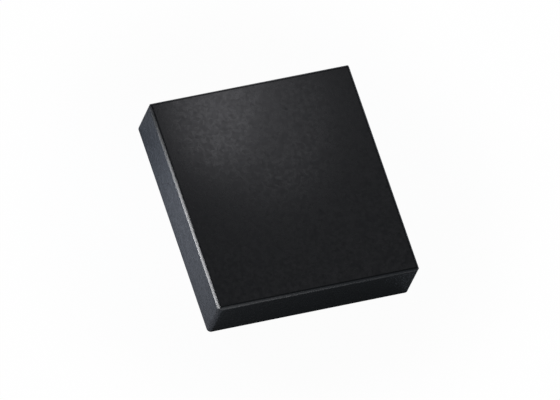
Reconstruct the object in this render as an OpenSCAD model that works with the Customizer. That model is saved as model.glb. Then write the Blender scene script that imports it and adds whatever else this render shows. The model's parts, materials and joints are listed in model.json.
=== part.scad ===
// Overmoulded land-grid wireless communication module.
// A laminate board carries the radio chip, its memory, front end, crystals, filter and
// passives on top and a grid of solder lands below. One moulded block of black epoxy
// covers the parts, fills in under them and wraps the edges of the board.
// Origin: centre of the land plane. +X to the right, +Y to the back, +Z up. Millimetres.

/* [Moulded block] */
// Width of the block, left to right
body_w = 7.4; // [6.2:0.1:10]
// Depth of the block, front to back
body_d = 8; // [6.8:0.1:10.5]
// Height of the block's top face above the land plane
body_h = 1.8; // [1.5:0.05:2.6]
// Radius of the four upright corners
corner_r = 0.14; // [0.04:0.01:0.2]
// Radius broken on the top edges
top_edge_r = 0.12; // [0.03:0.01:0.16]
// Mould that wraps each edge of the board
side_wall = 0.2; // [0.12:0.01:0.35]

/* [Board] */
// Thickness of the laminate board
board_t = 0.36; // [0.25:0.01:0.5]
// Diameter of the filled via that leads up from a land
via_dia = 0.15; // [0.1:0.01:0.25]
// Strip along each board edge that is kept free of parts
edge_keepout = 0.2; // [0.1:0.01:0.3]
// Gap between neighbouring parts of one row or column
part_gap = 0.25; // [0.1:0.01:0.3]

/* [Lands] */
// Height that every land stands proud of the board's underside
land_t = 0.03; // [0.02:0.005:0.05]
// Thickness of the solder resist round the lands
resist_t = 0.02; // [0.01:0.005:0.025]
// Margin between a land and the edge of its opening in the resist
resist_gap = 0.05; // [0.02:0.01:0.08]
// Pitch of the signal lands in the ring
signal_pitch = 0.6; // [0.5:0.05:0.8]
// Width of a signal land along the board's edge
signal_w = 0.35; // [0.2:0.01:0.45]
// Length of a signal land towards the middle of the board
signal_l = 0.5; // [0.3:0.01:0.6]
// Distance from the board's edge to the ring of signal lands
signal_inset = 0.12; // [0.05:0.01:0.2]
// Clear strip between the end lands of a side and the ring's corner square
ring_corner_gap = 0.2; // [0.1:0.01:0.4]
// Pitch of the ground lands in the middle grid
ground_pitch = 1; // [0.85:0.05:1.4]
// Side of a square ground land
ground_side = 0.7; // [0.4:0.01:0.8]
// Radius of a ground land's corners
ground_corner_r = 0.1; // [0.04:0.01:0.18]
// Least gap between the ring and the ground lands
ring_gap = 0.4; // [0.2:0.01:0.6]
// Side of the index land in the front left corner
index_side = 0.38; // [0.25:0.01:0.45]
// Cut across the index land's outer corner
index_chamfer = 0.16; // [0.08:0.01:0.22]

/* [Chips] */
// Width of the radio chip
radio_w = 2.6; // [1.8:0.05:2.9]
// Depth of the radio chip
radio_d = 2.6; // [1.8:0.05:2.9]
// Thickness of the radio chip
radio_h = 0.32; // [0.2:0.01:0.5]
// Width of the memory chip
memory_w = 1.4; // [0.9:0.05:1.7]
// Depth of the memory chip
memory_d = 1; // [0.8:0.05:1.3]
// Thickness of the memory chip
memory_h = 0.28; // [0.2:0.01:0.5]
// Width of the front-end chip
front_end_w = 1.1; // [0.8:0.05:1.5]
// Depth of the front-end chip
front_end_d = 1; // [0.8:0.05:1.3]
// Thickness of the front-end chip
front_end_h = 0.36; // [0.2:0.01:0.5]
// Pitch of the solder bumps under every chip
bump_pitch = 0.35; // [0.3:0.01:0.5]
// Height of a collapsed solder bump
bump_h = 0.14; // [0.1:0.01:0.17]
// Greatest diameter of a solder bump
bump_dia = 0.22; // [0.2:0.01:0.26]
// Least distance from a chip's edge to its outer bumps
bump_inset = 0.06; // [0.03:0.01:0.15]

/* [Crystals] */
// Length of the main crystal's package
main_crystal_l = 1.6; // [1.2:0.05:2]
// Width of the main crystal's package
main_crystal_w = 1.2; // [1:0.05:1.4]
// Height of the main crystal's ceramic tray
main_tray_h = 0.34; // [0.3:0.01:0.6]
// Length of the sleep crystal's package
sleep_crystal_l = 1.6; // [1.2:0.05:1.8]
// Width of the sleep crystal's package
sleep_crystal_w = 1; // [0.9:0.05:1.3]
// Height of the sleep crystal's ceramic tray
sleep_tray_h = 0.4; // [0.3:0.01:0.6]
// Wall of a ceramic tray
tray_wall = 0.16; // [0.12:0.01:0.2]
// Floor of a ceramic tray
tray_floor = 0.1; // [0.08:0.01:0.14]
// Radius of the notch at each corner of a tray
tray_notch_r = 0.1; // [0.06:0.01:0.12]
// Thickness of a crystal's metal lid
lid_t = 0.06; // [0.04:0.01:0.1]
// Distance that a lid stays back from the tray's rim
lid_inset = 0.05; // [0.02:0.01:0.1]
// Height of the shelf that carries the quartz inside a tray
shelf_h = 0.08; // [0.05:0.01:0.1]
// Length of that shelf
shelf_l = 0.26; // [0.2:0.01:0.35]
// Thickness of the quartz
quartz_t = 0.05; // [0.03:0.005:0.07]
// Gap between the quartz and the tray's walls
quartz_gap = 0.08; // [0.04:0.01:0.12]
// Width of the slot between the sleep crystal's two tines
fork_slot = 0.14; // [0.08:0.01:0.2]

/* [Power inductor] */
// Length of the power inductor over its end clips
inductor_l = 2; // [1.5:0.05:2.2]
// Width of the power inductor
inductor_w = 1.25; // [0.8:0.05:1.5]
// Height of the power inductor's core
inductor_h = 0.8; // [0.5:0.05:0.9]
// Radius of the core's upright corners
core_corner_r = 0.1; // [0.04:0.01:0.12]
// Thickness of an end clip
clip_t = 0.06; // [0.04:0.01:0.1]
// Width of an end clip
clip_w = 0.9; // [0.5:0.05:1]
// Length of an end clip's foot under the core
clip_foot = 0.45; // [0.25:0.05:0.6]
// Height of an end clip up the core's end
clip_h = 0.5; // [0.3:0.05:0.55]

/* [Band filter] */
// Length of the band filter over its end caps
filter_l = 1.6; // [1.2:0.05:1.8]
// Width of the band filter over its side straps
filter_w = 0.8; // [0.6:0.05:1]
// Height of the band filter
filter_h = 0.6; // [0.4:0.05:0.8]
// Length of a filter's end cap along the part
filter_cap_l = 0.24; // [0.15:0.01:0.3]
// Width of a filter's side strap
filter_strap_w = 0.3; // [0.2:0.01:0.4]
// Reach of a side strap over the top and the underside
filter_strap_reach = 0.2; // [0.12:0.01:0.25]

/* [Small passives] */
// Length of a bulk capacitor over its end caps
bulk_l = 1; // [0.8:0.05:1.2]
// Width of a bulk capacitor
bulk_w = 0.5; // [0.4:0.02:0.6]
// Height of a bulk capacitor
bulk_h = 0.5; // [0.35:0.02:0.7]
// Length of a bulk capacitor's end cap
bulk_cap_l = 0.24; // [0.15:0.01:0.32]
// Number of bulk capacitors
bulk_count = 2; // [1:1:2]
// Length of the small passives over their end caps
small_l = 0.6; // [0.4:0.02:0.66]
// Width of the small passives
small_w = 0.3; // [0.2:0.01:0.34]
// Height of a bypass capacitor
bypass_h = 0.3; // [0.2:0.01:0.45]
// Height of a matching inductor
matching_h = 0.34; // [0.2:0.01:0.45]
// Height of a chip resistor
resistor_h = 0.22; // [0.15:0.01:0.35]
// Length of the end caps on the small passives
small_cap_l = 0.15; // [0.1:0.01:0.2]
// Bypass capacitors in the row behind the radio chip
bypass_row_count = 5; // [2:1:5]
// Bypass capacitors in the column beside the radio chip
bypass_column_count = 4; // [2:1:4]
// Bypass capacitors in the row in front of the radio chip
bypass_front_count = 3; // [1:1:3]
// Matching inductors in each of their two groups
matching_count = 2; // [1:1:2]
// Number of chip resistors
resistor_count = 2; // [1:1:2]
// Thickness of a plated end cap
plating_t = 0.02; // [0.01:0.005:0.04]
// Thickness of the solder under each soldered part
joint_t = 0.03; // [0.02:0.005:0.05]
// Reach of the solder out from a terminal's outer face
wedge_l = 0.06; // [0.03:0.01:0.1]
// Height that the solder climbs up a terminal's outer face
wedge_h = 0.11; // [0.04:0.01:0.13]
// Side of the solder pad at each corner of a crystal
crystal_pad = 0.36; // [0.25:0.01:0.42]

/* [Hidden] */
$fn = 64;
// Overrun of a profile or a cut past the face that it crosses
overrun = 0.5;

// Heights above the land plane
mould_foot = land_t - resist_t;
board_top = land_t + board_t;
part_seat = board_top + joint_t;
chip_seat = board_top + bump_h;

// Board outline and the area that parts may use
board_w = body_w - 2 * side_wall;
board_d = body_d - 2 * side_wall;
right_x = board_w / 2 - edge_keepout;
left_x = -right_x;
back_y = board_d / 2 - edge_keepout;
front_y = -back_y;

// Lands: how many fit along each side, and in the grid inside the ring
ring_depth = signal_inset + signal_l;
function copies(room, size, pitch) = floor((room - size) / pitch) + 1;
signal_count_x = copies(board_w - 2 * (ring_depth + ring_corner_gap), signal_w, signal_pitch);
signal_count_y = copies(board_d - 2 * (ring_depth + ring_corner_gap), signal_w, signal_pitch);
ground_count_x = copies(board_w - 2 * (ring_depth + ring_gap), ground_side, ground_pitch);
ground_count_y = copies(board_d - 2 * (ring_depth + ring_gap), ground_side, ground_pitch);

// Coordinates of a row of equal steps, centred on zero
function steps(count, pitch) = [for (i = [0 : count - 1]) (i - (count - 1) / 2) * pitch];
// Length of a row of parts with a gap between each two
function row_length(count, size) = count * size + (count - 1) * part_gap;

// Depth of each row of parts, from the back of the board to its front
back_row_d = max(main_crystal_w, inductor_w, bulk_l);
stack_d = sleep_crystal_w + part_gap + memory_d;
chip_row_d = max(radio_d, stack_d, row_length(bypass_column_count, small_w));
matching_stack_d = row_length(matching_count, small_w);
resistor_stack_d = row_length(resistor_count, small_w);
front_row_d = max(front_end_d, filter_w, matching_stack_d, resistor_stack_d);
// The depth left over is shared equally by the four gaps between the five rows
row_depths = back_row_d + small_w + chip_row_d + small_w + front_row_d;
row_gap = (back_y - front_y - row_depths) / 4;
bypass_row_y = back_y - back_row_d - row_gap - small_w / 2;
chip_row_y = bypass_row_y - small_w / 2 - row_gap - chip_row_d / 2;
matching_row_y = chip_row_y - chip_row_d / 2 - row_gap - small_w / 2;
front_row_y = front_y + front_row_d / 2;

// Reach of the solder, kept clear of the next part's and of the board's edge
wedge_reach = min(wedge_l, part_gap / 3, edge_keepout / 2);

// Centres of the single parts
main_crystal_at = [left_x + main_crystal_l / 2, back_y - main_crystal_w / 2];
inductor_at = [right_x - inductor_l / 2, back_y - inductor_w / 2];
radio_at = [left_x + radio_w / 2, chip_row_y];
sleep_crystal_at = [right_x - sleep_crystal_l / 2, chip_row_y + (part_gap + sleep_crystal_w) / 2];
memory_at = [right_x - memory_w / 2, chip_row_y - (part_gap + memory_d) / 2];
filter_at = [right_x - small_l - part_gap - filter_l / 2, front_row_y];
front_end_at = [filter_at.x - (filter_l + front_end_w) / 2 - part_gap, front_row_y];

// Centres of the parts that repeat
small_step = small_l + part_gap;
stack_step = small_w + part_gap;
bulk_x = (left_x + main_crystal_l + right_x - inductor_l) / 2;
bulk_places = [for (s = steps(bulk_count, bulk_w + part_gap)) [bulk_x + s, back_y - bulk_l / 2]];
bypass_column_x = (left_x + radio_w + right_x - max(sleep_crystal_l, memory_w)) / 2;
bypass_places = concat(
    [for (s = steps(bypass_row_count, small_step)) [s, bypass_row_y]],
    [for (s = steps(bypass_column_count, stack_step)) [bypass_column_x, chip_row_y + s]],
    [for (i = [0 : bypass_front_count - 1]) [left_x + small_l / 2 + i * small_step, matching_row_y]]
);
matching_places = concat(
    [for (i = [0 : matching_count - 1]) [right_x - small_l / 2 - i * small_step, matching_row_y]],
    [for (s = steps(matching_count, stack_step)) [right_x - small_l / 2, front_row_y + s]]
);
resistor_places = [for (s = steps(resistor_count, stack_step)) [left_x + small_l / 2, front_row_y + s]];

// Shapes used by more than one piece

module at(place, z) {
    translate([place.x, place.y, z]) children();
}

// Box centred in plan, standing on z = 0
module block(w, d, h) {
    translate([-w / 2, -d / 2, 0]) cube([w, d, h]);
}

module rounded_rect(w, d, r) {
    square([w - 2 * r, d], center = true);
    square([w, d - 2 * r], center = true);
    for (x = [-1, 1], y = [-1, 1])
        translate([x * (w / 2 - r), y * (d / 2 - r)]) circle(r);
}

// Upright section of the block: square at the foot, rounded at the top
module arch(w, h, r) {
    translate([-w / 2, -overrun]) square([w, h + overrun - r]);
    translate([-w / 2 + r, -overrun]) square([w - 2 * r, h + overrun]);
    for (x = [-1, 1])
        translate([x * (w / 2 - r), h - r]) circle(r);
}

// Places of the lands on the underside, each with X along its own edge of the board
module at_signal_lands() {
    reach_x = board_w / 2 - signal_inset - signal_l / 2;
    reach_y = board_d / 2 - signal_inset - signal_l / 2;
    for (x = steps(signal_count_x, signal_pitch), side = [-1, 1])
        translate([x, side * reach_y, 0]) children();
    for (y = steps(signal_count_y, signal_pitch), side = [-1, 1])
        translate([side * reach_x, y, 0]) rotate([0, 0, 90]) children();
}

module at_ground_lands() {
    for (x = steps(ground_count_x, ground_pitch), y = steps(ground_count_y, ground_pitch))
        translate([x, y, 0]) children();
}

// Outlines of the lands, grown by a margin all round for their openings in the resist
module signal_outline(margin) {
    square([signal_w + 2 * margin, signal_l + 2 * margin], center = true);
}

module ground_outline(margin) {
    side = ground_side + 2 * margin;
    rounded_rect(side, side, ground_corner_r + margin);
}

module index_outline(margin) {
    low = -margin;
    high = index_side + margin;
    cut = index_chamfer + (1 - sqrt(2)) * margin;
    translate([-board_w / 2 + signal_inset, -board_d / 2 + signal_inset])
        polygon([[cut, low], [high, low], [high, high], [low, high], [low, cut]]);
}

// Barrels of the vias, one in the middle of each land but the index land
module via_barrels(h) {
    at_signal_lands() cylinder(d = via_dia, h = h);
    at_ground_lands() cylinder(d = via_dia, h = h);
}

// Solder bump pressed flat between chip and board: the middle zone of a ball
module bump() {
    rotate_extrude()
        intersection() {
            translate([0, bump_h / 2]) circle(bump_dia / 2);
            square([bump_dia, bump_h]);
        }
}

module bump_grid(chip_w, chip_d) {
    margin = 2 * bump_inset;
    for (x = steps(copies(chip_w - margin, bump_dia, bump_pitch), bump_pitch))
        for (y = steps(copies(chip_d - margin, bump_dia, bump_pitch), bump_pitch))
            translate([x, y, 0]) bump();
}

// Two-terminal part, long way along X: the plating stands proud of the body all round
module chip_body(l, w, h) {
    translate([0, 0, plating_t])
        block(l - 2 * plating_t, w - 2 * plating_t, h - 2 * plating_t);
}

module chip_caps(l, w, h, cap_l) {
    difference() {
        for (side = [-1, 1])
            translate([side * (l - cap_l) / 2, 0, 0]) block(cap_l, w, h);
        chip_body(l, w, h);
    }
}

// Solder under a terminal, and wedged up its outer face at x = 0
module terminal_joint(terminal_l, w) {
    translate([0, w / 2, 0])
        rotate([90, 0, 0])
            linear_extrude(w)
                polygon([
                    [-terminal_l, 0], [wedge_reach, 0], [0, joint_t + wedge_h], [0, joint_t],
                    [-terminal_l, joint_t]
                ]);
}

module chip_joints(l, w, cap_l) {
    for (side = [0, 1])
        mirror([side, 0, 0]) translate([l / 2, 0, 0]) terminal_joint(cap_l, w);
}

// Ceramic crystal package: notched corners, open tray, one shelf for the quartz
module tray_outline(l, w) {
    difference() {
        square([l, w], center = true);
        for (x = [-1, 1], y = [-1, 1])
            translate([x * l / 2, y * w / 2]) circle(tray_notch_r);
    }
}

module crystal_tray(l, w, h) {
    inside_l = l - 2 * tray_wall;
    inside_w = w - 2 * tray_wall;
    difference() {
        linear_extrude(h) tray_outline(l, w);
        translate([0, 0, tray_floor + shelf_h]) block(inside_l, inside_w, h);
        translate([shelf_l / 2, 0, tray_floor]) block(inside_l - shelf_l, inside_w, h);
    }
}

module crystal_lid(l, w, h) {
    translate([0, 0, h])
        linear_extrude(lid_t)
            rounded_rect(l - 2 * lid_inset, w - 2 * lid_inset, tray_notch_r);
}

// Plate of quartz that lies on the shelf and reaches over the open tray
module quartz_plate(l, w) {
    margin = 2 * (tray_wall + quartz_gap);
    translate([0, 0, tray_floor + shelf_h]) block(l - margin, w - margin, quartz_t);
}

module crystal_joints(l, w) {
    for (x = [-1, 1], y = [-1, 1])
        translate([x * (l - crystal_pad) / 2, y * (w - crystal_pad) / 2, 0])
            difference() {
                block(crystal_pad, crystal_pad, joint_t);
                translate([x * crystal_pad / 2, y * crystal_pad / 2, -overrun])
                    cylinder(r = tray_notch_r, h = joint_t + 2 * overrun);
            }
}

// Outside of the moulded block

module moulded_block() {
    intersection() {
        translate([0, 0, mould_foot]) linear_extrude(body_h) rounded_rect(body_w, body_d, corner_r);
        translate([0, body_d / 2 + overrun, 0])
            rotate([90, 0, 0])
                linear_extrude(body_d + 2 * overrun) arch(body_w, body_h, top_edge_r);
        translate([-body_w / 2 - overrun, 0, 0])
            rotate([90, 0, 90])
                linear_extrude(body_w + 2 * overrun) arch(body_d, body_h, top_edge_r);
    }
}

// Everything that the mould flows round
module populated_board() {
    translate([0, 0, mould_foot]) block(board_w, board_d, board_top - mould_foot);
    radio_chip();
    radio_chip_bumps();
    memory_chip();
    memory_chip_bumps();
    front_end_chip();
    front_end_bumps();
    at(main_crystal_at, part_seat)
        linear_extrude(main_tray_h) tray_outline(main_crystal_l, main_crystal_w);
    main_crystal_lid();
    at(sleep_crystal_at, part_seat)
        linear_extrude(sleep_tray_h) tray_outline(sleep_crystal_l, sleep_crystal_w);
    sleep_crystal_lid();
    power_inductor_core();
    power_inductor_clips();
    band_filter();
    band_filter_terminals();
    bulk_capacitors();
    bulk_capacitor_caps();
    bypass_capacitors();
    bypass_capacitor_caps();
    matching_inductors();
    matching_inductor_caps();
    chip_resistors();
    chip_resistor_caps();
    solder_joints();
}

// Pieces

module mould_cap() {
    color([0.13, 0.13, 0.14])
        difference() {
            moulded_block();
            populated_board();
        }
}

module board() {
    color([0.10, 0.20, 0.14])
        difference() {
            translate([0, 0, land_t]) block(board_w, board_d, board_t);
            via_barrels(board_top + overrun);
        }
}

module board_vias() {
    color([0.76, 0.48, 0.32]) translate([0, 0, land_t]) via_barrels(board_t);
}

// Skin of resist on the board's underside, open round every land
module land_resist() {
    color([0.06, 0.15, 0.10])
        translate([0, 0, mould_foot])
            linear_extrude(resist_t)
                difference() {
                    square([board_w, board_d], center = true);
                    at_signal_lands() signal_outline(resist_gap);
                    at_ground_lands() ground_outline(resist_gap);
                    index_outline(resist_gap);
                }
}

module signal_lands() {
    color([0.85, 0.68, 0.32]) at_signal_lands() linear_extrude(land_t) signal_outline(0);
}

module ground_lands() {
    color([0.85, 0.68, 0.32]) at_ground_lands() linear_extrude(land_t) ground_outline(0);
}

module index_land() {
    color([0.85, 0.68, 0.32]) linear_extrude(land_t) index_outline(0);
}

module radio_chip() {
    color([0.32, 0.33, 0.38]) at(radio_at, chip_seat) block(radio_w, radio_d, radio_h);
}

module radio_chip_bumps() {
    color([0.74, 0.75, 0.77]) at(radio_at, board_top) bump_grid(radio_w, radio_d);
}

module memory_chip() {
    color([0.32, 0.33, 0.38]) at(memory_at, chip_seat) block(memory_w, memory_d, memory_h);
}

module memory_chip_bumps() {
    color([0.74, 0.75, 0.77]) at(memory_at, board_top) bump_grid(memory_w, memory_d);
}

module front_end_chip() {
    color([0.32, 0.33, 0.38]) at(front_end_at, chip_seat) block(front_end_w, front_end_d, front_end_h);
}

module front_end_bumps() {
    color([0.74, 0.75, 0.77]) at(front_end_at, board_top) bump_grid(front_end_w, front_end_d);
}

module main_crystal_tray() {
    color([0.30, 0.27, 0.25])
        at(main_crystal_at, part_seat) crystal_tray(main_crystal_l, main_crystal_w, main_tray_h);
}

module main_crystal_quartz() {
    color([0.86, 0.88, 0.90])
        at(main_crystal_at, part_seat) quartz_plate(main_crystal_l, main_crystal_w);
}

module main_crystal_lid() {
    color([0.78, 0.77, 0.74])
        at(main_crystal_at, part_seat) crystal_lid(main_crystal_l, main_crystal_w, main_tray_h);
}

module sleep_crystal_tray() {
    color([0.30, 0.27, 0.25])
        at(sleep_crystal_at, part_seat) crystal_tray(sleep_crystal_l, sleep_crystal_w, sleep_tray_h);
}

// Tuning fork: the plate with a slot that leaves two tines on one foot
module sleep_crystal_fork() {
    foot_end = -sleep_crystal_l / 2 + tray_wall + shelf_l;
    color([0.86, 0.88, 0.90])
        at(sleep_crystal_at, part_seat)
            difference() {
                quartz_plate(sleep_crystal_l, sleep_crystal_w);
                translate([foot_end, -fork_slot / 2, 0])
                    cube([sleep_crystal_l, fork_slot, sleep_tray_h]);
            }
}

module sleep_crystal_lid() {
    color([0.78, 0.77, 0.74])
        at(sleep_crystal_at, part_seat) crystal_lid(sleep_crystal_l, sleep_crystal_w, sleep_tray_h);
}

module power_inductor_core() {
    color([0.28, 0.28, 0.30])
        at(inductor_at, part_seat + clip_t)
            linear_extrude(inductor_h)
                rounded_rect(inductor_l - 2 * clip_t, inductor_w, core_corner_r);
}

// Folded clips: a foot under the core and a plate up each end of it
module power_inductor_clips() {
    color([0.80, 0.79, 0.76])
        at(inductor_at, part_seat)
            for (side = [0, 1])
                mirror([side, 0, 0])
                    translate([-inductor_l / 2, -clip_w / 2, 0]) {
                        cube([clip_foot, clip_w, clip_t]);
                        cube([clip_t, clip_w, clip_h]);
                    }
}

module band_filter() {
    color([0.55, 0.62, 0.70]) at(filter_at, part_seat) chip_body(filter_l, filter_w, filter_h);
}

// Plated caps on both ends, and a strap folded round each long side
module band_filter_terminals() {
    strap_d = filter_strap_reach + plating_t;
    color([0.80, 0.79, 0.76])
        at(filter_at, part_seat) {
            chip_caps(filter_l, filter_w, filter_h, filter_cap_l);
            difference() {
                for (side = [-1, 1])
                    translate([0, side * (filter_w - strap_d) / 2, 0])
                        block(filter_strap_w, strap_d, filter_h);
                chip_body(filter_l, filter_w, filter_h);
            }
        }
}

module bulk_capacitors() {
    color([0.62, 0.52, 0.42])
        for (place = bulk_places)
            at(place, part_seat) rotate([0, 0, 90]) chip_body(bulk_l, bulk_w, bulk_h);
}

module bulk_capacitor_caps() {
    color([0.80, 0.79, 0.76])
        for (place = bulk_places)
            at(place, part_seat) rotate([0, 0, 90]) chip_caps(bulk_l, bulk_w, bulk_h, bulk_cap_l);
}

module bypass_capacitors() {
    color([0.62, 0.52, 0.42])
        for (place = bypass_places)
            at(place, part_seat) chip_body(small_l, small_w, bypass_h);
}

module bypass_capacitor_caps() {
    color([0.80, 0.79, 0.76])
        for (place = bypass_places)
            at(place, part_seat) chip_caps(small_l, small_w, bypass_h, small_cap_l);
}

module matching_inductors() {
    color([0.88, 0.88, 0.84])
        for (place = matching_places)
            at(place, part_seat) chip_body(small_l, small_w, matching_h);
}

module matching_inductor_caps() {
    color([0.80, 0.79, 0.76])
        for (place = matching_places)
            at(place, part_seat) chip_caps(small_l, small_w, matching_h, small_cap_l);
}

module chip_resistors() {
    color([0.16, 0.16, 0.17])
        for (place = resistor_places)
            at(place, part_seat) chip_body(small_l, small_w, resistor_h);
}

module chip_resistor_caps() {
    color([0.80, 0.79, 0.76])
        for (place = resistor_places)
            at(place, part_seat) chip_caps(small_l, small_w, resistor_h, small_cap_l);
}

module solder_joints() {
    color([0.74, 0.75, 0.77]) {
        at(main_crystal_at, board_top) crystal_joints(main_crystal_l, main_crystal_w);
        at(sleep_crystal_at, board_top) crystal_joints(sleep_crystal_l, sleep_crystal_w);
        at(inductor_at, board_top) chip_joints(inductor_l, clip_w, clip_foot);
        at(filter_at, board_top) {
            chip_joints(filter_l, filter_w, filter_cap_l);
            for (side = [0, 1])
                mirror([0, side, 0])
                    translate([0, filter_w / 2, 0])
                        rotate([0, 0, 90]) terminal_joint(filter_strap_reach, filter_strap_w);
        }
        for (place = bulk_places)
            at(place, board_top) rotate([0, 0, 90]) chip_joints(bulk_l, bulk_w, bulk_cap_l);
        for (place = concat(bypass_places, matching_places, resistor_places))
            at(place, board_top) chip_joints(small_l, small_w, small_cap_l);
    }
}

mould_cap();
board();
board_vias();
land_resist();
signal_lands();
ground_lands();
index_land();
radio_chip();
radio_chip_bumps();
memory_chip();
memory_chip_bumps();
front_end_chip();
front_end_bumps();
main_crystal_tray();
main_crystal_quartz();
main_crystal_lid();
sleep_crystal_tray();
sleep_crystal_fork();
sleep_crystal_lid();
power_inductor_core();
power_inductor_clips();
band_filter();
band_filter_terminals();
bulk_capacitors();
bulk_capacitor_caps();
bypass_capacitors();
bypass_capacitor_caps();
matching_inductors();
matching_inductor_caps();
chip_resistors();
chip_resistor_caps();
solder_joints();
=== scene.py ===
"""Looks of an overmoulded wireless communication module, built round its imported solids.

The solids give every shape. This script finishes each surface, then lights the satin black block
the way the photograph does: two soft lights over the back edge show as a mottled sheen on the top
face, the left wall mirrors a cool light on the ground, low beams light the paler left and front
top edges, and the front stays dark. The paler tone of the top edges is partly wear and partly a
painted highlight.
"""
import json
import math

import bpy
from mathutils import Matrix, Quaternion, Vector


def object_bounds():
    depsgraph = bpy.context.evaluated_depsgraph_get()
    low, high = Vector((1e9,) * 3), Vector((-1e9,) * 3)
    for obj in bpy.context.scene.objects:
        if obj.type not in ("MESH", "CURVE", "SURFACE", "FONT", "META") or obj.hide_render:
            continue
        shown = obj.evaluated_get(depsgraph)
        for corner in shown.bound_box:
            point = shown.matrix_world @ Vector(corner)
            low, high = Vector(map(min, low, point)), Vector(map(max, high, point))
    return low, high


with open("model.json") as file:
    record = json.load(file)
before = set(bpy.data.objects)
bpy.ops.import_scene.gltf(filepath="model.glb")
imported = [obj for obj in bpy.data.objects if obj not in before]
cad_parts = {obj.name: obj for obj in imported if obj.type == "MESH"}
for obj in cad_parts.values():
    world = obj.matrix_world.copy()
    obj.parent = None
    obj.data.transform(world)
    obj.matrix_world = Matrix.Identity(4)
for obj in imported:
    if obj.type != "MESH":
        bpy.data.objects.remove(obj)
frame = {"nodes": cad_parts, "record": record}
CAD_LOW, CAD_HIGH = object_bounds()

MM = 0.001

# Light colours
WHITE = (1.0, 1.0, 1.0)
PALE_BLUE = (0.95, 0.94, 1.0)
SKY = (0.80, 0.90, 1.0)
COOL = (0.71, 0.81, 1.0)

# Camera: a long lens, so the block's parallel edges stay parallel, turned about its own axis
VIEW_AZIMUTH = -41.54
VIEW_ELEVATION = 60.79
VIEW_ROLL = 26.43
LENS_MM = 1200.0
SENSOR_MM = 36.0
VIEW_DISTANCE = 638.3 * MM
FRAME_PX = (560, 400)
BLOCK_CENTRE_PX = (278.61, 197.81)

# Floor: pale and matt, lifted towards white, a little less so in the shadow next to the block
FLOOR_RADIUS = 600 * MM
FLOOR_CORNERS = 96
FLOOR_CLOUD = 3 * MM
FLOOR_TONES = (0.84, 0.88)
FLOOR_LIFT = 0.995
SHADOW_LIFT = 0.97
# Distances from the middle over which the shadow ends, and over which gloss begins to see the lift
SHADOW_SPAN = (5.5 * MM, 10.5 * MM)
MIRROR_SPAN = (12 * MM, 40 * MM)

# Surround: even and dim, white at the horizon, with a dim glow at the front left for gloss
AMBIENT = 0.096
HORIZON_SPAN = (0.03, 0.08)
GLOW = 0.28
GLOW_TOWARDS = (-0.65, -0.65, 0.39)
GLOW_SPAN = (0.47, 0.97)

# Noise levels between which a finish goes from its dark to its light tone
TONE_SPAN = (0.3, 0.7)

# Moulding compound: mottle of its filler, finer grain, pale specks, pits and worn top edges,
# whose paler tone is partly wear and partly a painted highlight
EPOXY_IOR = 1.55
EPOXY_TONES = ((0.0062, 0.0062, 0.0068), (0.0088, 0.0088, 0.0096))
MOTTLE_SIZE = 0.145 * MM
MOTTLE_DISTORTION = 0.6
MOTTLE_RELIEF = 0.0012 * MM
GRAIN_SIZE = 0.045 * MM
GRAIN_RELIEF = 0.0004 * MM
SATIN_ROUGHNESS = (0.387, 0.210)
SATIN_SPAN = (0.24, 0.72)
SPECK_SPACING = 0.8 * MM
SPECK_RADIUS = 0.035 * MM
SPECK_TONE = (0.035, 0.035, 0.036)
SPECK_CORE = 0.6
PIT_SPACING = 0.9 * MM
PIT_RADIUS = 0.06 * MM
PIT_ROUGHNESS = 0.14
# Paler tone of the top edges: partly wear, partly a painted highlight along them
EDGE_WEAR_AND_HIGHLIGHT_TONE = (0.14, 0.14, 0.143)
RUBBED_POLISH = 0.07
# Upward share of the normal over which a worn edge, with its painted highlight, fades into the top face
# and into the wall
EDGE_WEAR_AND_HIGHLIGHT_TOP_SPAN = (0.82, 0.95)
EDGE_WEAR_AND_HIGHLIGHT_WALL_SPAN = (0.1, 0.37)

# Small pieces: dark tone, light tone and mean roughness of each finish
FINISHES = {
    "laminate": ((0.05, 0.075, 0.035), (0.08, 0.11, 0.055), 0.50),
    "solder_resist": ((0.006, 0.032, 0.018), (0.010, 0.045, 0.026), 0.32),
    "silicon": ((0.14, 0.15, 0.18), (0.18, 0.19, 0.22), 0.18),
    "crystal_ceramic": ((0.07, 0.058, 0.05), (0.10, 0.085, 0.075), 0.60),
    "quartz": ((0.80, 0.83, 0.86), (0.92, 0.94, 0.96), 0.12),
    "inductor_core": ((0.07, 0.07, 0.08), (0.11, 0.11, 0.12), 0.65),
    "filter_ceramic": ((0.16, 0.23, 0.32), (0.23, 0.32, 0.42), 0.55),
    "capacitor_ceramic": ((0.26, 0.17, 0.11), (0.34, 0.23, 0.15), 0.55),
    "inductor_ceramic": ((0.66, 0.65, 0.60), (0.78, 0.77, 0.72), 0.50),
    "resistor_coat": ((0.015, 0.015, 0.017), (0.03, 0.03, 0.032), 0.25),
}
METAL_FINISHES = {
    "land_gold": ((0.72, 0.50, 0.18), (0.85, 0.63, 0.27), 0.30),
    "via_copper": ((0.62, 0.28, 0.16), (0.76, 0.40, 0.25), 0.35),
    "solder": ((0.52, 0.53, 0.55), (0.66, 0.67, 0.69), 0.35),
    "crystal_lid": ((0.60, 0.58, 0.54), (0.70, 0.68, 0.64), 0.28),
    "tin_plating": ((0.55, 0.53, 0.50), (0.68, 0.66, 0.62), 0.40),
}
# Their cloud of tones, swing of roughness about its mean and depth of relief
FINISH_CLOUD = 0.08 * MM
FINISH_DETAIL = 3.0
FINISH_SWING = 0.05
FINISH_RELIEF = 0.001 * MM

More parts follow.
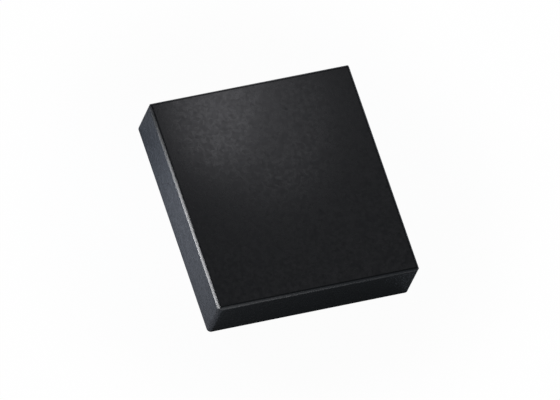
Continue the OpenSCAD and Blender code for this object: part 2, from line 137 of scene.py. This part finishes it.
# Lights: lengths in millimetres from the middle of the block's underside, spread and turn in degrees.
# The edge lights are low beams that stay below the top face, hidden from gloss.
HALF_WIDTH, HALF_DEPTH, HEIGHT = CAD_HIGH / MM
BEAM_MARGIN = 0.05
BEAM_LEVEL = HEIGHT / 2
BEAM_HEIGHT = HEIGHT - 2 * BEAM_MARGIN
LIGHTS = {
    "top_sheen": dict(place=(0.55, 6.4, 7.15), target=(0.55, 6.4, 0), size=(3.2, 6.2),
                      radiance=0.9, colour=PALE_BLUE, turn=-14),
    "wide_sheen": dict(place=(2.5, 6.4, 8.9), target=(2.5, 6.4, 0), size=(4.9, 7.6),
                       radiance=0.52, colour=PALE_BLUE),
    "right_glow": dict(place=(16, 16, 36.9), target=(3.5, 1, HEIGHT), size=(17, 26),
                       radiance=0.295, colour=PALE_BLUE),
    "left_floor": dict(place=(-13.5, 9.5, 8.5), target=(-4.6, -0.1, 0), size=(4, 4),
                       radiance=3.55, colour=COOL, spread=46),
    "right_floor": dict(place=(13.5, 11, 8.5), target=(5.6, 3.2, 0), size=(4, 4),
                        radiance=1.2, colour=COOL, spread=46),
    "left_edge": dict(place=(-16, -1.95, BEAM_LEVEL), target=(-HALF_WIDTH, -1.95, BEAM_LEVEL),
                      size=(8.6, BEAM_HEIGHT), radiance=9.4, spread=26, glossy=False),
    "front_edge": dict(place=(-4.5, -16, BEAM_LEVEL), target=(-4.5, -HALF_DEPTH, BEAM_LEVEL),
                       size=(2, BEAM_HEIGHT), radiance=5.2, spread=64, glossy=False),
}


def empty_material(name):
    """A node material with only an output."""
    material = bpy.data.materials.new(name)
    material.use_nodes = True
    tree = material.node_tree
    tree.nodes.clear()
    return material, tree, tree.nodes.new("ShaderNodeOutputMaterial")


def new_material(name):
    """A node material with an output and one principled shader."""
    material, tree, output = empty_material(name)
    shader = tree.nodes.new("ShaderNodeBsdfPrincipled")
    tree.links.new(shader.outputs["BSDF"], output.inputs["Surface"])
    return material, tree, shader


def coordinates(tree, kind):
    """One of the surface's own coordinates: Object, Normal or Generated."""
    return tree.nodes.new("ShaderNodeTexCoord").outputs[kind]


def noise(tree, size, detail=2.0, distortion=0.0):
    """Noise over the object's own coordinates, with features of about the given size in metres."""
    texture = tree.nodes.new("ShaderNodeTexNoise")
    texture.inputs["Scale"].default_value = 1.0 / size
    texture.inputs["Detail"].default_value = detail
    texture.inputs["Distortion"].default_value = distortion
    tree.links.new(coordinates(tree, "Object"), texture.inputs["Vector"])
    return texture.outputs["Fac"]


def specks(tree, spacing, radius):
    """1 inside small round specks strewn through the solid, 0 between them."""
    texture = tree.nodes.new("ShaderNodeTexVoronoi")
    texture.inputs["Scale"].default_value = 1.0 / spacing
    tree.links.new(coordinates(tree, "Object"), texture.inputs["Vector"])
    edge = radius / spacing
    return remap(tree, texture.outputs["Distance"], 1.0, 0.0, (SPECK_CORE * edge, edge))


def calculate(tree, operation, *values):
    """Math node over sockets."""
    node = tree.nodes.new("ShaderNodeMath")
    node.operation = operation
    for socket, value in zip(node.inputs, values):
        tree.links.new(value, socket)
    return node.outputs["Value"]


def remap(tree, value, low, high, span=(0.0, 1.0), curve="LINEAR"):
    """Value over its span, stretched to low to high and held there outside it."""
    node = tree.nodes.new("ShaderNodeMapRange")
    node.interpolation_type = curve
    node.inputs["From Min"].default_value, node.inputs["From Max"].default_value = span
    node.inputs["To Min"].default_value = low
    node.inputs["To Max"].default_value = high
    tree.links.new(value, node.inputs["Value"])
    return node.outputs["Result"]


def ramp(tree, value, start, end):
    """Colour ramp between two stops, each a position and a colour."""
    node = tree.nodes.new("ShaderNodeValToRGB")
    for element, (position, colour) in zip(node.color_ramp.elements, (start, end)):
        element.position = position
        element.color = (*colour, 1.0)
    tree.links.new(value, node.inputs["Fac"])
    return node.outputs["Color"]


def two_tones(tree, cloud, dark, light):
    """Colour that follows a noise from a dark to a light tone."""
    return ramp(tree, cloud, (TONE_SPAN[0], dark), (TONE_SPAN[1], light))


def blend(tree, share, under, over):
    """Colour under, covered by the plain colour over by the given share."""
    node = tree.nodes.new("ShaderNodeMix")
    node.data_type = "RGBA"
    tree.links.new(share, node.inputs["Factor"])
    tree.links.new(under, node.inputs["A"])
    node.inputs["B"].default_value = (*over, 1.0)
    return node.outputs["Result"]


def bump(tree, height, depth, strength=None, below=None):
    """Bump of the given depth in metres, on top of the bump below it."""
    node = tree.nodes.new("ShaderNodeBump")
    node.inputs["Distance"].default_value = depth
    tree.links.new(height, node.inputs["Height"])
    if strength is not None:
        tree.links.new(strength, node.inputs["Strength"])
    if below is not None:
        tree.links.new(below, node.inputs["Normal"])
    return node.outputs["Normal"]


def upward_part(tree, vector):
    """The Z of a vector socket."""
    parts = tree.nodes.new("ShaderNodeSeparateXYZ")
    tree.links.new(vector, parts.inputs["Vector"])
    return parts.outputs["Z"]


def edge_wear_and_highlight_share(tree):
    """0 on the top face and the walls, rising to 1 in the middle of the rounded top edges, where they
    are worn and painted paler as a highlight.
    """
    upward = calculate(tree, "ABSOLUTE", upward_part(tree, coordinates(tree, "Normal")))
    off_top = remap(tree, upward, 1.0, 0.0, EDGE_WEAR_AND_HIGHLIGHT_TOP_SPAN)
    off_wall = remap(tree, upward, 0.0, 1.0, EDGE_WEAR_AND_HIGHLIGHT_WALL_SPAN)
    return calculate(tree, "MULTIPLY", off_top, off_wall)


def epoxy_colour(tree, mottle, edge_wear_and_highlight):
    """Near-black mottle with a few pale filler specks, paler on its top edges: partly wear, partly a
    painted highlight.
    """
    colour = two_tones(tree, mottle, *EPOXY_TONES)
    colour = blend(tree, specks(tree, SPECK_SPACING, SPECK_RADIUS), colour, SPECK_TONE)
    # Paler top edges: partly wear, partly a painted highlight
    return blend(tree, edge_wear_and_highlight, colour, EDGE_WEAR_AND_HIGHLIGHT_TONE)


def epoxy_roughness(tree, mottle, edge_wear_and_highlight):
    """Satin that follows the mottle, rougher in small pits and smoother on the worn edges."""
    satin = remap(tree, mottle, *SATIN_ROUGHNESS, SATIN_SPAN)
    pits = specks(tree, PIT_SPACING, PIT_RADIUS)
    satin = calculate(tree, "ADD", satin, remap(tree, pits, 0.0, PIT_ROUGHNESS))
    return calculate(tree, "SUBTRACT", satin, remap(tree, edge_wear_and_highlight, 0.0, RUBBED_POLISH))


def epoxy_relief(tree, mottle, edge_wear_and_highlight):
    """Low relief of the mottle and a finer grain, worn off along the top edges."""
    kept = remap(tree, edge_wear_and_highlight, 1.0, 0.0)
    relief = bump(tree, mottle, MOTTLE_RELIEF, strength=kept)
    return bump(tree, noise(tree, GRAIN_SIZE), GRAIN_RELIEF, strength=kept, below=relief)


def moulded_epoxy():
    """Black moulding compound: satin, mottled by its filler, with worn top edges whose paler tone is
    partly a painted highlight.
    """
    material, tree, shader = new_material("moulded_epoxy")
    mottle = noise(tree, MOTTLE_SIZE, distortion=MOTTLE_DISTORTION)
    edge_wear_and_highlight = edge_wear_and_highlight_share(tree)
    tree.links.new(epoxy_colour(tree, mottle, edge_wear_and_highlight), shader.inputs["Base Color"])
    tree.links.new(epoxy_roughness(tree, mottle, edge_wear_and_highlight), shader.inputs["Roughness"])
    tree.links.new(epoxy_relief(tree, mottle, edge_wear_and_highlight), shader.inputs["Normal"])
    shader.inputs["IOR"].default_value = EPOXY_IOR
    return material


def plain_finish(name, dark, light, roughness, metallic=0.0):
    """Finish of a small piece: two close tones, roughness that varies a little, fine relief."""
    material, tree, shader = new_material(name)
    cloud = noise(tree, FINISH_CLOUD, detail=FINISH_DETAIL)
    low, high = roughness - FINISH_SWING, roughness + FINISH_SWING
    tree.links.new(two_tones(tree, cloud, dark, light), shader.inputs["Base Color"])
    tree.links.new(remap(tree, cloud, low, high), shader.inputs["Roughness"])
    tree.links.new(bump(tree, cloud, FINISH_RELIEF), shader.inputs["Normal"])
    shader.inputs["Metallic"].default_value = metallic
    return material


def make_finishes():
    """One finish for each material slot of the record."""
    finishes = {name: plain_finish(name, *tones) for name, tones in FINISHES.items()}
    for name, tones in METAL_FINISHES.items():
        finishes[name] = plain_finish(name, *tones, metallic=1.0)
    finishes["moulded_epoxy"] = moulded_epoxy()
    return finishes


def dress_nodes():
    """Gives every solid the finish of its own slot."""
    finishes = make_finishes()
    for subpart in frame["record"]["subparts"]:
        piece = frame["nodes"][subpart["node"]]
        piece.data.materials.clear()
        piece.data.materials.append(finishes[subpart["material_slot"]])


def mirrored(tree, path):
    """1 for rays that gloss or glass sends on to the surroundings."""
    return calculate(tree, "MAXIMUM", path.outputs["Is Glossy Ray"], path.outputs["Is Transmission Ray"])


def white_share(tree):
    """Share of white in the floor: a little less near the block, and for gloss only away from it."""
    path = tree.nodes.new("ShaderNodeLightPath")
    away = tree.nodes.new("ShaderNodeVectorMath")
    away.operation = "LENGTH"
    tree.links.new(coordinates(tree, "Object"), away.inputs[0])
    distance = away.outputs["Value"]
    seen = remap(tree, distance, SHADOW_LIFT, FLOOR_LIFT, SHADOW_SPAN, "SMOOTHSTEP")
    seen = calculate(tree, "MULTIPLY", path.outputs["Is Camera Ray"], seen)
    shown = remap(tree, distance, 0.0, FLOOR_LIFT, MIRROR_SPAN, "SMOOTHSTEP")
    shown = calculate(tree, "MULTIPLY", mirrored(tree, path), shown)
    return calculate(tree, "MAXIMUM", seen, shown)


def floor_material():
    """Pale matt floor, lifted towards white for the camera and for reflections away from the block."""
    material, tree, output = empty_material("floor")
    matt = tree.nodes.new("ShaderNodeBsdfDiffuse")
    white = tree.nodes.new("ShaderNodeEmission")
    mixed = tree.nodes.new("ShaderNodeMixShader")
    dark, light = ((tone,) * 3 for tone in FLOOR_TONES)
    tree.links.new(two_tones(tree, noise(tree, FLOOR_CLOUD), dark, light), matt.inputs["Color"])
    tree.links.new(white_share(tree), mixed.inputs["Fac"])
    tree.links.new(matt.outputs["BSDF"], mixed.inputs[1])
    tree.links.new(white.outputs["Emission"], mixed.inputs[2])
    tree.links.new(mixed.outputs["Shader"], output.inputs["Surface"])
    return material


def make_floor():
    """Round floor on the land plane, returned for the lights that fall on it alone."""
    bpy.ops.mesh.primitive_circle_add(vertices=FLOOR_CORNERS, radius=FLOOR_RADIUS, fill_type="NGON")
    floor = bpy.context.object
    floor.name = "floor"
    floor.data.materials.append(floor_material())
    return floor


def horizon_share(tree, path):
    """1 at the horizon, for rays from the camera and from gloss, and 0 above it."""
    height = upward_part(tree, coordinates(tree, "Generated"))
    band = remap(tree, height, 1.0, 0.0, HORIZON_SPAN, "SMOOTHSTEP")
    seen = calculate(tree, "MAXIMUM", path.outputs["Is Camera Ray"], mirrored(tree, path))
    return calculate(tree, "MULTIPLY", band, seen)


def gloss_glow(tree, path):
    """Strength of the glow at the front left, which gloss alone shows."""
    facing = tree.nodes.new("ShaderNodeVectorMath")
    facing.operation = "DOT_PRODUCT"
    facing.inputs[1].default_value = GLOW_TOWARDS
    tree.links.new(coordinates(tree, "Generated"), facing.inputs[0])
    glow = remap(tree, facing.outputs["Value"], 0.0, GLOW, GLOW_SPAN, "SMOOTHSTEP")
    return calculate(tree, "MULTIPLY", glow, mirrored(tree, path))


def make_world():
    """Even dim surround, with a white band at the horizon and the glow for gloss."""
    world = bpy.data.worlds.new("studio")
    bpy.context.scene.world = world
    world.use_nodes = True
    tree = world.node_tree
    background = tree.nodes["Background"]
    path = tree.nodes.new("ShaderNodeLightPath")
    share = horizon_share(tree, path)
    strength = remap(tree, share, AMBIENT, 1.0)
    strength = calculate(tree, "MAXIMUM", strength, gloss_glow(tree, path))
    tree.links.new(ramp(tree, share, (0.0, SKY), (1.0, WHITE)), background.inputs["Color"])
    tree.links.new(strength, background.inputs["Strength"])


def light_only(name, lights, pieces):
    """Keeps lights off everything but the given pieces."""
    collection = bpy.data.collections.new(name)
    for piece in pieces:
        collection.objects.link(piece)
    for light in lights:
        light.light_linking.receiver_collection = collection


def soft_light(name, place, target, size, radiance, colour=WHITE, spread=180, turn=0, glossy=True):
    """Elliptic soft light, aimed at a point and turned about its own axis, that shows in gloss or not.

    A spread below 180 gathers the light's whole power into a narrower beam.
    """
    width, height = (length * MM for length in size)
    lamp = bpy.data.lights.new(name, "AREA")
    lamp.shape = "ELLIPSE"
    lamp.size, lamp.size_y = width, height
    lamp.energy = radiance * math.pi * math.pi / 4 * width * height
    lamp.color = colour
    lamp.spread = math.radians(spread)
    piece = bpy.data.objects.new(name, lamp)
    piece.location = Vector(place) * MM
    facing = (Vector(target) * MM - piece.location).to_track_quat("-Z", "Y")
    piece.rotation_euler = (facing @ Quaternion((0, 0, 1), math.radians(turn))).to_euler()
    piece.visible_camera = False
    piece.visible_glossy = glossy
    bpy.context.scene.collection.objects.link(piece)
    return piece


def make_lights(floor):
    """All lights: the floor lights fall on the floor alone, the edge lights on the solids alone."""
    lights = {name: soft_light(name, **settings) for name, settings in LIGHTS.items()}
    light_only("lit_floor", [lights["left_floor"], lights["right_floor"]], [floor])
    light_only("lit_solids", [lights["left_edge"], lights["front_edge"]], frame["nodes"].values())


def view_axes():
    """The camera's right, up and backward directions."""
    azimuth, elevation, roll = map(math.radians, (VIEW_AZIMUTH, VIEW_ELEVATION, VIEW_ROLL))
    back = Vector((
        math.sin(azimuth) * math.cos(elevation),
        -math.cos(azimuth) * math.cos(elevation),
        math.sin(elevation),
    ))
    level = Vector((math.cos(azimuth), math.sin(azimuth), 0.0))
    rise = back.cross(level)
    right = math.cos(roll) * level + math.sin(roll) * rise
    up = math.cos(roll) * rise - math.sin(roll) * level
    return right, up, back


def make_camera():
    """Long-lens camera at the photograph's angle, with the block's centre at its pixel."""
    right, up, back = view_axes()
    pixel = SENSOR_MM / FRAME_PX[0] * VIEW_DISTANCE / LENS_MM
    off_right = (FRAME_PX[0] / 2 - BLOCK_CENTRE_PX[0]) * pixel
    off_up = (BLOCK_CENTRE_PX[1] - FRAME_PX[1] / 2) * pixel
    aim = (CAD_LOW + CAD_HIGH) / 2 + off_right * right + off_up * up
    data = bpy.data.cameras.new("photo_camera")
    data.lens = LENS_MM
    data.sensor_width = SENSOR_MM
    camera = bpy.data.objects.new("photo_camera", data)
    turn = Matrix((right, up, back)).transposed().to_4x4()
    camera.matrix_world = Matrix.Translation(aim + VIEW_DISTANCE * back) @ turn
    bpy.context.scene.collection.objects.link(camera)
    bpy.context.scene.camera = camera


bpy.context.scene.view_settings.view_transform = "Standard"
make_camera()
dress_nodes()
studio_floor = make_floor()
make_world()
make_lights(studio_floor)
